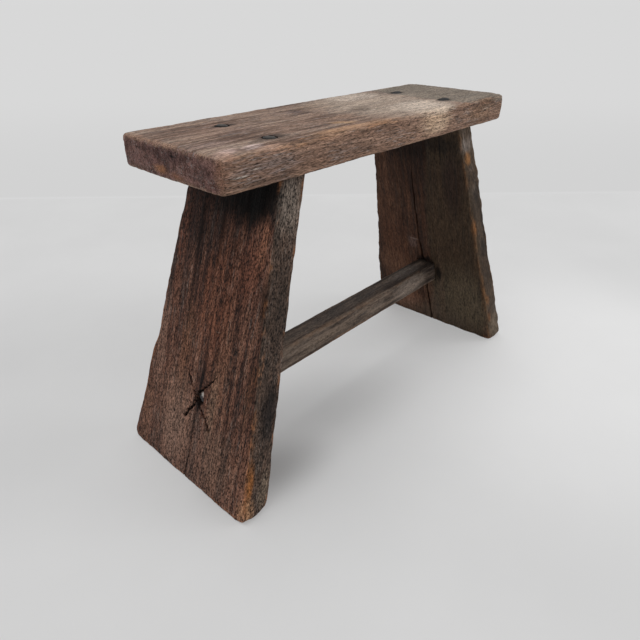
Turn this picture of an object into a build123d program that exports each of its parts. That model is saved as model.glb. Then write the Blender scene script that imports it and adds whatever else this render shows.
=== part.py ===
from build123d import *
from math import atan, cos, degrees, radians, sin, tan
import os

os.makedirs("parts", exist_ok=True)

# A low stool of rough planks. A seat board lies on two splayed board legs, whose
# tops are let into housings in its underside, and one square stretcher is let into
# a blind mortise in each leg. Six iron nails hold it together.
# Millimetres. The origin is on the floor under the middle of the seat, +X runs
# along the seat to the right, +Y to the back and +Z up.

# Seat board
stool_height = 312.4
seat_length = 400.0
seat_width = 126.6
seat_thickness = 27.4
seat_front_rounding = 6.0
seat_back_rounding = 4.6
seat_under_rounding = 3.6
seat_end_rounding = 3.4

# Leg boards
leg_splay = 17.7
leg_overhang = 62.8
leg_thickness = 26.7
leg_top_width = 111.3
leg_foot_width = 182.4
left_leg_setback = 0.8
right_leg_setback = -4.0
left_leg_turn = -0.5
right_leg_turn = 1.6
foot_corner_rounding = 9.0
leg_arris_rounding = 2.0
housing_depth = 6.0
housing_clearance = 0.2

# Hewn edges of the leg boards, each cut in a few flats: height as a share of the leg,
# then how far the edge stands outside its straight line as a share of the foot's width
left_back_edge_shares = (
    (-0.05, 0.0), (0.10, -0.002), (0.18, -0.014), (0.32, -0.004), (0.40, -0.026), (0.50, -0.016),
    (0.74, -0.010), (1.10, 0.0),
)
left_front_edge_shares = (
    (-0.05, -0.002), (0.15, -0.008), (0.35, -0.012), (0.60, -0.013), (0.85, -0.006), (1.10, 0.0),
)
right_back_edge_shares = (
    (-0.05, 0.0), (0.15, 0.002), (0.28, 0.008), (0.46, -0.003), (0.65, -0.004), (0.85, 0.003),
    (1.10, 0.0),
)
right_front_edge_shares = (
    (-0.05, 0.003), (0.12, 0.007), (0.31, 0.007), (0.42, -0.003), (0.62, -0.003), (0.82, 0.004),
    (1.10, 0.0),
)

# Drying splits, each open at the foot: height as a share of the leg, then the
# place across as a share of the foot's width
right_leg_split_shares = (
    (-0.05, -0.008), (0.02, -0.005), (0.20, 0.017), (0.36, 0.028), (0.52, 0.055), (0.74, 0.056),
)
right_leg_split_width = 1.8
right_leg_split_depth = 17.0
left_leg_split_shares = ((-0.05, 0.020), (0.03, 0.012), (0.08, 0.001), (0.24, -0.022))
left_leg_split_width = 0.9
left_leg_split_depth = 8.0
split_end_width = 0.3

# Stretcher
stretcher_width = 25.6
stretcher_depth = 27.6
stretcher_level = 85.1
stretcher_setback = -3.9
stretcher_rise = 5.8
stretcher_skew = 1.6
stretcher_arris_rounding = 3.6
stretcher_entry = 13.0
mortise_clearance = 0.2
mortise_top_gap = 1.2
mortise_front_gap = 0.9
mortise_end_gap = 0.5

# Seat nails, driven down through the seat into the tops of the legs
seat_nail_head = 11.0
seat_nail_head_rim = 0.9
seat_nail_head_height = 2.2
seat_nail_proud = 1.0
seat_nail_shank = 4.6
seat_nail_tip = 1.6
seat_nail_length = 66.0

# Stretcher nails, driven through the outer face of each leg and sunk in it
stretcher_nail_head = 8.0
stretcher_nail_head_rim = 0.9
stretcher_nail_head_height = 1.5
stretcher_nail_sink = 2.0
stretcher_nail_shank = 3.6
stretcher_nail_tip = 1.4
stretcher_nail_length = 48.0

nail_head_slope = 65.0
nail_clearance = 0.05
nail_head_clearance = 0.4
cut_overrun = 8.0

# Places of the seat nails: side of the stool, share of the leg's thickness in from
# its outer face at the seat's underside, share of the leg's top width to the back
seat_nail_place_shares = {
    "left_back": (-1, 0.33, 0.215),
    "left_front": (-1, 0.20, -0.350),
    "right_back": (1, 0.56, 0.290),
    "right_front": (1, 0.75, -0.295),
}

underside = stool_height - seat_thickness
leg_top_level = underside + housing_depth
lean = radians(leg_splay)
leg_top_reach = seat_length / 2 - leg_overhang
leg_foot_reach = leg_top_reach + underside * tan(lean)
leg_length = underside / cos(lean)
leg_level_thickness = leg_thickness / cos(lean)


def leg_plane(side):
    """Outer face of a leg: local x runs to the back, local y up along the board."""
    turn = radians(right_leg_turn if side > 0 else left_leg_turn)
    setback = right_leg_setback if side > 0 else left_leg_setback
    return Plane(
        origin=(side * leg_foot_reach, setback, 0),
        x_dir=(-sin(turn), cos(turn), 0),
        z_dir=(cos(lean) * cos(turn), cos(lean) * sin(turn), side * sin(lean)),
    )


def edge_points(way, edge_shares, grow):
    """Points up one hewn edge of a leg, back edge for way 1 and front edge for -1."""
    points = []
    for height_share, outward_share in edge_shares:
        width = leg_foot_width + (leg_top_width - leg_foot_width) * height_share
        across = way * (width / 2 + outward_share * leg_foot_width + grow)
        points.append((across, height_share * leg_length))
    return points


def leg_board(side, grow=0):
    """A leg before its foot is rounded, or with grow the space that it needs."""
    face = leg_plane(side)
    back_shares = right_back_edge_shares if side > 0 else left_back_edge_shares
    front_shares = right_front_edge_shares if side > 0 else left_front_edge_shares
    with BuildPart() as board:
        with BuildSketch(face.offset(side * grow)):
            with BuildLine():
                back = Polyline(*edge_points(1, back_shares, grow))
                front = Polyline(*edge_points(-1, front_shares, grow))
                Line(back @ 0, front @ 0)
                Line(back @ 1, front @ 1)
            make_face()
        extrude(amount=-side * (leg_thickness + 2 * grow))
        split(bisect_by=Plane.XY, keep=Keep.TOP)
        split(bisect_by=Plane.XY.offset(leg_top_level), keep=Keep.BOTTOM)
    return board.part


def split_wedge(face, course, mouth_width, depth):
    """A drying split that narrows from the foot up, cut from a face of a leg."""
    last = len(course) - 1
    sides = []
    for edge in (-1, 1):
        points = []
        for step, (height_share, across_share) in enumerate(course):
            width = mouth_width + (split_end_width - mouth_width) * step / last
            points.append((across_share * leg_foot_width + edge * width / 2, height_share * leg_length))
        sides.append(points)
    with BuildPart() as wedge:
        with BuildSketch(face):
            with BuildLine():
                Polyline(*sides[0], *reversed(sides[1]), close=True)
            make_face()
        extrude(amount=depth)
    return wedge.part


def nail_plane(head_seat, tip):
    """Plane under a nail's head, square to the nail, with its normal out of the wood."""
    return Plane(origin=head_seat, x_dir=(0, 1, 0), z_dir=head_seat - tip)


def nail(plane, shank, tip, head, rim, height, length):
    """A forged nail: a square shank that tapers to its tip, and a round peened head."""
    with BuildPart() as iron:
        with BuildSketch(plane):
            Circle(head / 2)
        extrude(amount=rim)
        with BuildSketch(plane.offset(rim)):
            Circle(head / 2)
        extrude(amount=height - rim, taper=nail_head_slope)
        with BuildSketch(Plane(plane.origin, x_dir=plane.x_dir, z_dir=-plane.z_dir)):
            Rectangle(shank, shank)
        extrude(amount=length, taper=degrees(atan((shank - tip) / 2 / length)))
    return iron.part


def nail_hole(plane, shank, tip, head, rim, height, length):
    """Space for a nail: its tight tapered hole, and the recess its head is driven into."""
    hole = shank + 2 * nail_clearance
    with BuildPart() as space:
        with BuildSketch(plane):
            Circle(head / 2 + nail_head_clearance)
        extrude(amount=height + cut_overrun)
        with BuildSketch(Plane(plane.origin, x_dir=plane.x_dir, z_dir=-plane.z_dir)):
            Rectangle(hole, hole)
        extrude(amount=length + nail_clearance, taper=degrees(atan((shank - tip) / 2 / length)))
    return space.part


seat_nail_sizes = {
    "shank": seat_nail_shank,
    "tip": seat_nail_tip,
    "head": seat_nail_head,
    "rim": seat_nail_head_rim,
    "height": seat_nail_head_height,
    "length": seat_nail_length,
}
stretcher_nail_sizes = {
    "shank": stretcher_nail_shank,
    "tip": stretcher_nail_tip,
    "head": stretcher_nail_head,
    "rim": stretcher_nail_head_rim,
    "height": stretcher_nail_head_height,
    "length": stretcher_nail_length,
}

# Each seat nail leans so that its tip ends in the middle of its leg's thickness
nail_planes = {}
for place, (side, inset_share, back_share) in seat_nail_place_shares.items():
    setback = right_leg_setback if side > 0 else left_leg_setback
    back = setback + back_share * leg_top_width
    head_level = stool_height + seat_nail_proud - seat_nail_head_height
    tip_level = head_level - seat_nail_length
    tip_reach = leg_foot_reach - tip_level * tan(lean) - leg_level_thickness / 2
    head_seat = Vector(side * (leg_top_reach - inset_share * leg_level_thickness), back, head_level)
    nail_planes["seat_nail_" + place] = nail_plane(head_seat, Vector(side * tip_reach, back, tip_level))

# The stretcher's axis rises a little to the right, and its nails follow that axis
stretcher_reach = leg_foot_reach - stretcher_level * tan(lean) - leg_level_thickness + stretcher_entry
stretcher_axis = Vector(2 * stretcher_reach, stretcher_skew, stretcher_rise).normalized()
stretcher_plane = Plane(
    origin=(0, stretcher_setback, stretcher_level),
    x_dir=(0, 1, 0),
    z_dir=stretcher_axis,
)
for side, name in ((-1, "stretcher_nail_left"), (1, "stretcher_nail_right")):
    face_reach = stretcher_reach - stretcher_entry + leg_level_thickness
    face_reach -= side * stretcher_rise / 2 * tan(lean)
    head_reach = face_reach - stretcher_nail_sink - stretcher_nail_head_height
    head_seat = stretcher_plane.origin + stretcher_axis * (side * head_reach)
    tip = head_seat - stretcher_axis * (side * stretcher_nail_length)
    nail_planes[name] = nail_plane(head_seat, tip)

nail_sizes = {
    name: seat_nail_sizes if name.startswith("seat") else stretcher_nail_sizes
    for name in nail_planes
}

# The seat board, housed over the leg tops
with BuildPart() as seat_board:
    end_plane = Plane(
        origin=(-seat_length / 2, 0, stool_height - seat_thickness / 2),
        x_dir=(0, 1, 0),
        z_dir=(1, 0, 0),
    )
    with BuildSketch(end_plane) as seat_section:
        Rectangle(seat_width, seat_thickness)
        under = seat_section.vertices().group_by(Axis.Y)[0]
        front, back = seat_section.vertices().group_by(Axis.Y)[-1].sort_by(Axis.X)
        fillet(under, seat_under_rounding)
        fillet(front, seat_front_rounding)
        fillet(back, seat_back_rounding)
    extrude(amount=seat_length)
    fillet(seat_board.faces().filter_by(Axis.X).edges(), min(seat_end_rounding, seat_under_rounding))
    for side in (-1, 1):
        add(leg_board(side, housing_clearance), mode=Mode.SUBTRACT)
    for name in seat_nail_place_shares:
        add(nail_hole(nail_planes["seat_nail_" + name], **seat_nail_sizes), mode=Mode.SUBTRACT)
seat_board.part.label = "seat_board"
export_step(seat_board.part, "parts/seat_board.step")

# The mortises, cut level with the stretcher's axis into the inner faces of the legs
mortise_width = stretcher_width + mortise_clearance + mortise_front_gap
mortise_depth = stretcher_depth + mortise_top_gap
with BuildPart() as mortises:
    with BuildSketch(stretcher_plane.offset(-stretcher_reach - mortise_end_gap)):
        with Locations(((mortise_clearance - mortise_front_gap) / 2, mortise_top_gap / 2)):
            Rectangle(mortise_width, mortise_depth)
    extrude(amount=2 * (stretcher_reach + mortise_end_gap))

# The legs
for side, name in ((-1, "left"), (1, "right")):
    outer_face = leg_plane(side)
    inner_face = outer_face.offset(-side * leg_thickness)
    with BuildPart() as leg:
        add(leg_board(side))
        foot = leg.faces().sort_by(Axis.Z)[0]
        fillet(foot.edges().sort_by(SortBy.LENGTH)[:2], foot_corner_rounding)
        faces = leg.faces().filter_by(outer_face)
        fillet([edge for edge in faces.edges() if edge.center().Z < underside], leg_arris_rounding)
        add(mortises.part, mode=Mode.SUBTRACT)
        if side > 0:
            drying_split = split_wedge(
                inner_face, right_leg_split_shares, right_leg_split_width, right_leg_split_depth
            )
        else:
            drying_split = split_wedge(
                outer_face, left_leg_split_shares, left_leg_split_width, left_leg_split_depth
            )
        add(drying_split, mode=Mode.SUBTRACT)
        for nail_name, plane in nail_planes.items():
            if name in nail_name:
                add(nail_hole(plane, **nail_sizes[nail_name]), mode=Mode.SUBTRACT)
    leg.part.label = name + "_leg"
    export_step(leg.part, "parts/" + name + "_leg.step")

# The stretcher, whose square ends fill the mortises
with BuildPart() as stretcher:
    with BuildSketch(stretcher_plane.offset(-stretcher_reach)) as stretcher_section:
        Rectangle(stretcher_width, stretcher_depth)
        fillet(stretcher_section.vertices(), stretcher_arris_rounding)
    extrude(amount=2 * stretcher_reach)
    for name in ("stretcher_nail_left", "stretcher_nail_right"):
        add(nail_hole(nail_planes[name], **stretcher_nail_sizes), mode=Mode.SUBTRACT)
stretcher.part.label = "stretcher"
export_step(stretcher.part, "parts/stretcher.step")

# The nails
for name, plane in nail_planes.items():
    iron = nail(plane, **nail_sizes[name])
    iron.label = name
    export_step(iron, "parts/" + name + ".step")
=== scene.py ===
from math import atan, cos, pi, radians, tan

import bpy
import numpy as np
from mathutils import Euler, Matrix, Vector


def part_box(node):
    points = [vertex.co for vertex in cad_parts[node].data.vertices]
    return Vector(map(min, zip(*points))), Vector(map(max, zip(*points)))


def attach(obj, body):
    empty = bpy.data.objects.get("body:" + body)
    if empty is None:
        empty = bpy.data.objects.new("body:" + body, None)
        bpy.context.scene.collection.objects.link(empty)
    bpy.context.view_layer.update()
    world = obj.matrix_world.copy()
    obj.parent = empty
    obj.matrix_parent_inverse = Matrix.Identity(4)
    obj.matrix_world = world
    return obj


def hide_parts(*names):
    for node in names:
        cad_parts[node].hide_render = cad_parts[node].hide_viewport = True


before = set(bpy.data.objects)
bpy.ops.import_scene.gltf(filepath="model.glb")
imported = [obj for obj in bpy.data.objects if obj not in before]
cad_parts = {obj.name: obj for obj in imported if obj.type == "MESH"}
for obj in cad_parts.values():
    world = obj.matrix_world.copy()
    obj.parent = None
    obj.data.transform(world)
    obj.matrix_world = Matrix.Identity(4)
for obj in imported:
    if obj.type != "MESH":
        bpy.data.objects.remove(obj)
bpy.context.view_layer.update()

# A low stool of weathered planks: a seat board, two splayed board legs, a square
# stretcher and six forged nails. Each board is sawn, worn and split on the bench, lying
# in its own space with x along the grain and y to the back, and is then set in place.
# Metres. The board materials read the same bench space, so their marks are set out there.
MM = 0.001
X, Y, Z = 0, 1, 2

# Sizes of the boards
seat_low, seat_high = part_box("seat_board")
seat_length, seat_width, seat_thickness = seat_high - seat_low
stool_height = seat_high.z
underside = seat_low.z
housing_depth = 6.0 * MM
housing_clearance = 0.2 * MM
leg_splay = radians(17.7)
leg_overhang = 62.8 * MM
leg_thickness = 26.7 * MM
leg_top_width = 111.3 * MM
leg_foot_width = 182.4 * MM
leg_top_reach = seat_length / 2 - leg_overhang
leg_foot_reach = leg_top_reach + underside * tan(leg_splay)
leg_length = underside / cos(leg_splay)
leg_board_length = (underside + housing_depth) / cos(leg_splay)
leg_level_thickness = leg_thickness / cos(leg_splay)
left_leg_setback = 0.8 * MM
right_leg_setback = -4.0 * MM
left_leg_turn = radians(-0.5)
right_leg_turn = radians(1.6)
stretcher_width = 25.6 * MM
stretcher_depth = 27.6 * MM
stretcher_level = 85.1 * MM
stretcher_setback = -3.9 * MM
stretcher_entry = 13.0 * MM
leg_gap_reach = leg_foot_reach - stretcher_level * tan(leg_splay) - leg_level_thickness
stretcher_reach = leg_gap_reach + stretcher_entry
stretcher_end_rise = 5.8 * MM
stretcher_end_setback = 1.6 * MM
stretcher_rise = atan(stretcher_end_rise / (2 * stretcher_reach))
stretcher_skew = atan(stretcher_end_setback / (2 * stretcher_reach))
mortise_end_gap = 0.5 * MM
mortise_front_gap = 0.9 * MM
mortise_back_gap = 0.2 * MM
mortise_top_gap = 1.2 * MM
cut_overrun = 20 * MM

# Bench spaces: where each board's own origin is set, and how the board is turned. The
# seat's origin is its middle, and a leg's is the middle of its foot on its outer face, so
# that the left leg lies below z 0 and the right leg, whose z points inwards, above it
SEAT_PLACE = (Vector((0, 0, (underside + stool_height) / 2)), Euler((0, 0, 0)))
LEFT_PLACE = (
    Vector((-leg_foot_reach, left_leg_setback, 0)),
    Euler((0, leg_splay - pi / 2, left_leg_turn)),
)
RIGHT_PLACE = (
    Vector((leg_foot_reach, right_leg_setback, 0)),
    Euler((0, -leg_splay - pi / 2, right_leg_turn)),
)
STRETCHER_PLACE = (
    Vector((0, stretcher_setback, stretcher_level)),
    Euler((0, -stretcher_rise, stretcher_skew)),
)

# Hewn edges of the legs: height as a share of the leg, then how far the edge stands
# outside its straight line as a share of the foot's width
LEFT_BACK_EDGE = (
    (-0.05, 0.004), (0.10, 0.002), (0.18, -0.008), (0.32, 0.004), (0.40, -0.016), (0.50, -0.006),
    (0.74, 0.003), (1.10, 0.006),
)
LEFT_FRONT_EDGE = (
    (-0.05, -0.002), (0.15, -0.008), (0.35, -0.012), (0.60, -0.013), (0.85, -0.006), (1.10, 0.0),
)
RIGHT_BACK_EDGE = (
    (-0.05, 0.004), (0.15, 0.006), (0.28, 0.014), (0.46, 0.008), (0.65, 0.006), (0.85, 0.011),
    (1.10, 0.006),
)
RIGHT_FRONT_EDGE = (
    (-0.05, 0.003), (0.12, 0.007), (0.31, 0.007), (0.42, -0.003), (0.62, -0.003), (0.80, -0.001),
    (0.95, -0.008), (1.10, -0.010),
)

# Camera and light
camera_place = (-0.42526, -0.36487, 0.40461)
camera_turn = (radians(59.919), radians(-0.009), radians(-46.972))
focal_length = 31.303
film_width = 36
bpy.ops.object.select_all(action="DESELECT")
bpy.ops.object.camera_add(location=camera_place, rotation=camera_turn)
camera = bpy.context.object
camera.data.lens = focal_length
camera.data.sensor_width = film_width
bpy.context.scene.camera = camera
bpy.context.scene.view_settings.view_transform = "Standard"


def softbox(name, place, aim, size, power):
    bpy.ops.object.light_add(type="AREA", location=place)
    lamp = bpy.context.object
    lamp.name = name
    lamp.rotation_euler = (Vector(aim) - Vector(place)).to_track_quat("-Z", "Y").to_euler()
    lamp.data.shape = "RECTANGLE"
    lamp.data.size, lamp.data.size_y = size
    lamp.data.energy = power


softbox("overhead_softbox", (-0.2, 0.7, 3.4), (0, 0, 0.2), (1.9, 1.5), 30)
softbox("front_softbox", (1.9, -1.9, 1.3), (0, 0, 0.1), (1.2, 1.2), 16)

# The surroundings light the stool evenly, and the camera sees them as a plain pale backdrop
daylight_strength = 0.62
backdrop_tone = 0.69
world = bpy.data.worlds.new("studio")
bpy.context.scene.world = world
world.use_nodes = True
nodes, links = world.node_tree.nodes, world.node_tree.links
daylight = nodes["Background"]
daylight.inputs["Color"].default_value = (1, 1, 1, 1)
daylight.inputs["Strength"].default_value = daylight_strength
backdrop = nodes.new("ShaderNodeBackground")
backdrop.inputs["Color"].default_value = (backdrop_tone, backdrop_tone, backdrop_tone, 1)
surround = nodes.new("ShaderNodeMixShader")
links.new(nodes.new("ShaderNodeLightPath").outputs["Is Camera Ray"], surround.inputs[0])
links.new(daylight.outputs[0], surround.inputs[1])
links.new(backdrop.outputs[0], surround.inputs[2])
links.new(surround.outputs[0], nodes["World Output"].inputs["Surface"])


# Bench work
def select_only(piece):
    bpy.ops.object.select_all(action="DESELECT")
    piece.select_set(True)
    bpy.context.view_layer.objects.active = piece


def points_of(piece):
    """Places of a piece's vertices, as an array."""
    places = np.empty(len(piece.data.vertices) * 3)
    piece.data.vertices.foreach_get("co", places)
    return places.reshape(-1, 3)


def move_points(piece, places):
    piece.data.vertices.foreach_set("co", places.ravel())
    piece.data.update()


def block(name, low, high):
    """A cuboid between two corners."""
    low, high = Vector(low), Vector(high)
    bpy.ops.object.select_all(action="DESELECT")
    bpy.ops.mesh.primitive_cube_add(size=1, location=(low + high) / 2, scale=high - low)
    piece = bpy.context.object
    piece.name = name
    bpy.ops.object.transform_apply(location=True, rotation=False, scale=True)
    return piece


def edit(piece, elements, chosen):
    """Enter edit mode with only the chosen edges or polygons selected."""
    select_only(piece)
    modes = ("vertices", "edges", "polygons")
    bpy.context.scene.tool_settings.mesh_select_mode = [mode == elements for mode in modes]
    bpy.ops.object.mode_set(mode="EDIT")
    bpy.ops.mesh.select_all(action="DESELECT")
    bpy.ops.object.mode_set(mode="OBJECT")
    getattr(piece.data, elements).foreach_set("select", chosen)
    bpy.ops.object.mode_set(mode="EDIT")


def apply_modifier(piece, kind, **settings):
    select_only(piece)
    bpy.ops.object.modifier_add(type=kind)
    modifier = piece.modifiers[-1]
    for key, value in settings.items():
        setattr(modifier, key, value)
    bpy.ops.object.modifier_apply(modifier=modifier.name)


def edge_runs(piece):
    """How far each edge runs along x, y and z."""
    ends = np.empty(len(piece.data.edges) * 2, dtype=int)
    piece.data.edges.foreach_get("vertices", ends)
    ends = ends.reshape(-1, 2)
    places = points_of(piece)
    return np.abs(places[ends[:, 0]] - places[ends[:, 1]])


def divide(piece, axis, spacing):
    """Cut the piece's skin across an axis until its cells are about the spacing long."""
    most_cuts = 100
    straightness = 0.01 * MM
    slack = 1.4
    while True:
        runs = edge_runs(piece)
        straight = np.delete(runs, axis, axis=1).max(axis=1) < straightness
        longest = runs[straight, axis].max()
        cuts = min(most_cuts, round(longest / spacing) - 1)
        if cuts < 1:
            return
        edit(piece, "edges", straight & (runs[:, axis] > spacing * slack))
        bpy.ops.mesh.subdivide(number_cuts=cuts)
        bpy.ops.object.mode_set(mode="OBJECT")


def keep_values(piece, name, values):
    """Keep a number at each vertex of a piece, for its material."""
    piece.data.attributes.new(name, "FLOAT", "POINT").data.foreach_set("value", values)


def sawn_board(name, low, high, arris, spacing):
    """A plank with rounded arrises and a skin fine enough to wear, with its marks of place."""
    arris_softness = 5 * MM
    face_softness = 2.5 * MM
    board = block(name, low, high)
    edit(board, "edges", np.ones(len(board.data.edges), dtype=bool))
    bpy.ops.mesh.bevel(offset=arris, segments=4, affect="EDGES")
    bpy.ops.object.mode_set(mode="OBJECT")
    for axis in (X, Y, Z):
        divide(board, axis, spacing[axis])
    places = points_of(board)
    to_low, to_high = places - np.array(low), np.array(high) - places
    nearest = np.sort(np.minimum(to_low, to_high), axis=1)
    arris_distance = np.hypot(nearest[:, 0], nearest[:, 1])
    mark(board, "arris", np.exp(-((arris_distance / arris_softness) ** 2)))
    mark(board, "grime_and_shade", np.zeros(len(places)))
    mark(board, "front", np.clip(1 - to_low[:, Y] / face_softness, 0, 1))
    mark(board, "end", np.clip(1 - np.minimum(to_low, to_high)[:, X] / face_softness, 0, 1))
    return board


def mark(board, name, values):
    """Keep a number at each vertex, for the material and as a group to wear by."""
    keep_values(board, name, values)
    group = board.vertex_groups.new(name=name + "_wear")
    steps = 24
    weight_steps = np.rint(np.clip(values, 0, 1) * steps).astype(int)
    for step in range(1, steps + 1):
        members = np.flatnonzero(weight_steps == step)
        group.add(members.tolist(), step / steps, "REPLACE")


def wear(board, grain, depth, seed, group="", contrast=1.0, spread=1.0):
    """Raise and sink a board's skin by cloudy noise drawn out to the given grain size.

    Where a group of marked vertices is given, the noise only sinks them.
    """
    seed_drift = (0.37, 0.53, 0.71)
    bpy.ops.object.empty_add(location=[seed * drift for drift in seed_drift])
    stencil = bpy.context.object
    stencil.scale = grain
    clouds = bpy.data.textures.new("wear_clouds", "CLOUDS")
    clouds.noise_scale = 1
    clouds.noise_depth = 2
    clouds.contrast = contrast
    clouds.intensity = spread
    bpy.context.view_layer.update()
    apply_modifier(
        board, "DISPLACE", texture=clouds, texture_coords="OBJECT", texture_coords_object=stencil,
        strength=-depth if group else depth, mid_level=0.0 if group else 0.5,
        vertex_group=group + "_wear" if group else "",
    )
    bpy.data.objects.remove(stencil)
    bpy.data.textures.remove(clouds)


def round_corner(board, corner, inward, radius):
    """Round an upright corner of a board, given its place and its ways into the board."""
    places = points_of(board)
    reach = [1 - inward[axis] * (places[:, axis] - corner[axis]) / radius for axis in (X, Y)]
    turned = (reach[X] > 0) & (reach[Y] > 0)
    pull = np.maximum(*reach)[turned] / np.hypot(*reach)[turned]
    for axis in (X, Y):
        to_corner = 1 - reach[axis][turned] * pull
        places[turned, axis] = corner[axis] + inward[axis] * radius * to_corner
    move_points(board, places)


def knock_in(board, corner, inward, dent):
    """Dent a corner of a board the given way, less and less away from it."""
    places = points_of(board)
    away = np.linalg.norm(places - np.array(corner), axis=1)
    softness = 8 * MM
    push = Vector(inward).normalized() * dent
    places += np.exp(-((away / softness) ** 2))[:, None] * np.array(push)
    move_points(board, places)


def hew(board, low, high, back_edge, front_edge):
    """Taper a leg blank to its hewn edges and slant its ends so that they stand level."""
    rows = 48
    bpy.ops.object.add(type="LATTICE")
    cage = bpy.context.object
    cage.data.points_u, cage.data.points_v, cage.data.points_w = rows, 2, 2
    for way in "uvw":
        setattr(cage.data, "interpolation_type_" + way, "KEY_LINEAR")
    rest = np.array([point.co for point in cage.data.points])
    span = rest.max(axis=0) - rest.min(axis=0)
    cage.scale = [size / full for size, full in zip(Vector(high) - Vector(low), span)]
    cage.location = (Vector(low) + Vector(high)) / 2
    bpy.context.view_layer.update()
    for point in cage.data.points:
        place = cage.matrix_world @ point.co
        height_share = place.x / leg_length
        width = leg_foot_width + (leg_top_width - leg_foot_width) * height_share
        edge = back_edge if place.y > 0 else front_edge
        outward = np.interp(height_share, *zip(*edge)) * leg_foot_width
        place.y = (width / 2 + outward) * (1 if place.y > 0 else -1)
        place.x += abs(place.z) * tan(leg_splay)
        point.co_deform = cage.matrix_world.inverted() @ place
    apply_modifier(board, "LATTICE", object=cage)
    bpy.data.objects.remove(cage)


def combine(piece, other, operation):
    """Cut another piece out of a piece or weld it on, and use the other up."""
    apply_modifier(piece, "BOOLEAN", operation=operation, solver="MANIFOLD", object=other)
    bpy.data.objects.remove(other)


def cut(board, *cutters):
    for cutter in cutters:
        combine(board, cutter, "DIFFERENCE")


def mark_grime_and_shade(cutter):
    """Mark a cutter, so that the faces it cuts turn near-black: grime and painted shade."""
    keep_values(cutter, "grime_and_shade", np.ones(len(cutter.data.vertices)))
    return cutter


def split_cutter(course, mouth, depth, face, seed, closing=0.85):
    """A ragged wedge along a course of (x, y) places in a face, which is given by its level.

    Its mouth and depth are full near the start and fall off past the closing share.
    """
    cells = 36
    bottom_share = 0.12
    over = 1.0 * MM
    wedge = block("split", (0, -0.5, 0), (1, 0.5, 1))
    divide(wedge, X, 1 / cells)
    places = points_of(wedge)
    cell = np.rint(places[:, X] * cells).astype(int)
    top = places[:, Z] > 0.5
    shares = np.arange(cells + 1) / cells
    course_shares = np.linspace(0, 1, len(course))
    run = np.interp(shares, course_shares, [x for x, _ in course])
    drift = np.interp(shares, course_shares, [y for _, y in course])
    ragged = np.random.default_rng(seed)
    drift += ragged.uniform(-0.16, 0.16, cells + 1) * mouth * 1.5
    gape = mouth * ragged.uniform(0.75, 1.2, cells + 1)
    gape *= np.interp(shares, (0, 0.06, closing, 1), (0.85, 1, 0.8, 0.2))
    sink = depth * np.interp(shares, (0, 0.08, closing, 1), (0.9, 1, 0.8, 0.25))
    along, across = np.array(course[-1]) - np.array(course[0])
    length = np.hypot(along, across)
    side = places[:, Y] * gape[cell] * np.where(top, 1.0, bottom_share)
    new = np.empty_like(places)
    new[:, X] = run[cell] - side * across / length
    new[:, Y] = drift[cell] + side * along / length
    new[:, Z] = np.where(top, face + over, face - sink[cell])
    move_points(wedge, new)
    select_only(wedge)
    bpy.ops.object.mode_set(mode="EDIT")
    bpy.ops.mesh.select_all(action="SELECT")
    bpy.ops.mesh.normals_make_consistent(inside=False)
    bpy.ops.object.mode_set(mode="OBJECT")
    return mark_grime_and_shade(wedge)


def set_in_place(piece, place):
    """Carry a piece from its bench space to its place in the stool."""
    location, turn = place
    select_only(piece)
    piece.matrix_world = Matrix.LocRotScale(location, turn, None)
    bpy.ops.object.transform_apply(location=True, rotation=True, scale=True)
    return piece


def finish_piece(piece, node, material, smooth_below):
    """Give a finished piece its material and its place in the record."""
    piece.vertex_groups.clear()
    piece.data.materials.clear()
    piece.data.materials.append(material)
    select_only(piece)
    bpy.ops.object.shade_smooth_by_angle(angle=radians(smooth_below))
    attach(piece, "root")
    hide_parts(node)


# Nails
def nail_place(head_seat, tip):
    """A nail's space: its origin under the head and z out of the wood."""
    out = (head_seat - tip).normalized()
    back = (Vector((0, 1, 0)) - out * out.y).normalized()
    turn = Matrix((back, out.cross(back), out)).transposed()
    return head_seat, turn.to_euler()


def spike(name, shank, tip, length, top):
    """A square shank that tapers from its top to its tip, a length below its origin."""
    piece = block(name, (-shank / 2, -shank / 2, -length), (shank / 2, shank / 2, 0))
    places = points_of(piece)
    at_tip = places[:, Z] < -length / 2
    places[at_tip, :2] *= tip / shank
    places[~at_tip, Z] = top
    move_points(piece, places)
    return piece


def drum(name, radius, low, high, sides=48):
    bpy.ops.object.select_all(action="DESELECT")
    bpy.ops.mesh.primitive_cylinder_add(
        vertices=sides, radius=radius, depth=high - low, location=(0, 0, (low + high) / 2)
    )
    piece = bpy.context.object
    piece.name = name
    bpy.ops.object.transform_apply(location=True, rotation=False, scale=False)
    return piece


def forged_nail(name, sizes, place, seed, metal):
    """A nail with a hammered, slightly domed head on a square tapered shank."""
    head, rim, height, shank, tip, length = (sizes[key] for key in NAIL_KEYS)
    piece = drum(name, head / 2, 0, rim, sides=20)
    dome = height - rim
    edit(piece, "polygons", [face.normal.z > 0.9 for face in piece.data.polygons])
    for inset_share, rise_share in ((0.11, 0.40), (0.17, 0.38), (0.22, 0.20)):
        bpy.ops.mesh.inset(thickness=inset_share * head)
        bpy.ops.transform.translate(value=(0, 0, rise_share * dome))
    bpy.ops.mesh.poke()
    bpy.ops.mesh.select_all(action="SELECT")
    bpy.ops.mesh.subdivide(number_cuts=2, smoothness=0)
    bpy.ops.object.mode_set(mode="OBJECT")
    hammer_mark, pit = 3.2 * MM, 1.1 * MM
    wear(piece, (hammer_mark,) * 3, 0.7 * MM, seed, contrast=1.3)
    wear(piece, (pit,) * 3, 0.22 * MM, seed + 5)
    crown = (points_of(piece)[:, Z] - rim - 0.15 * dome) / (0.5 * dome)
    keep_values(piece, "crown", np.clip(crown, 0, 1))
    combine(piece, spike(name + "_shank", shank, tip, length, rim / 2), "UNION")
    set_in_place(piece, place)
    finish_piece(piece, name, metal, smooth_below=32)


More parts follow.
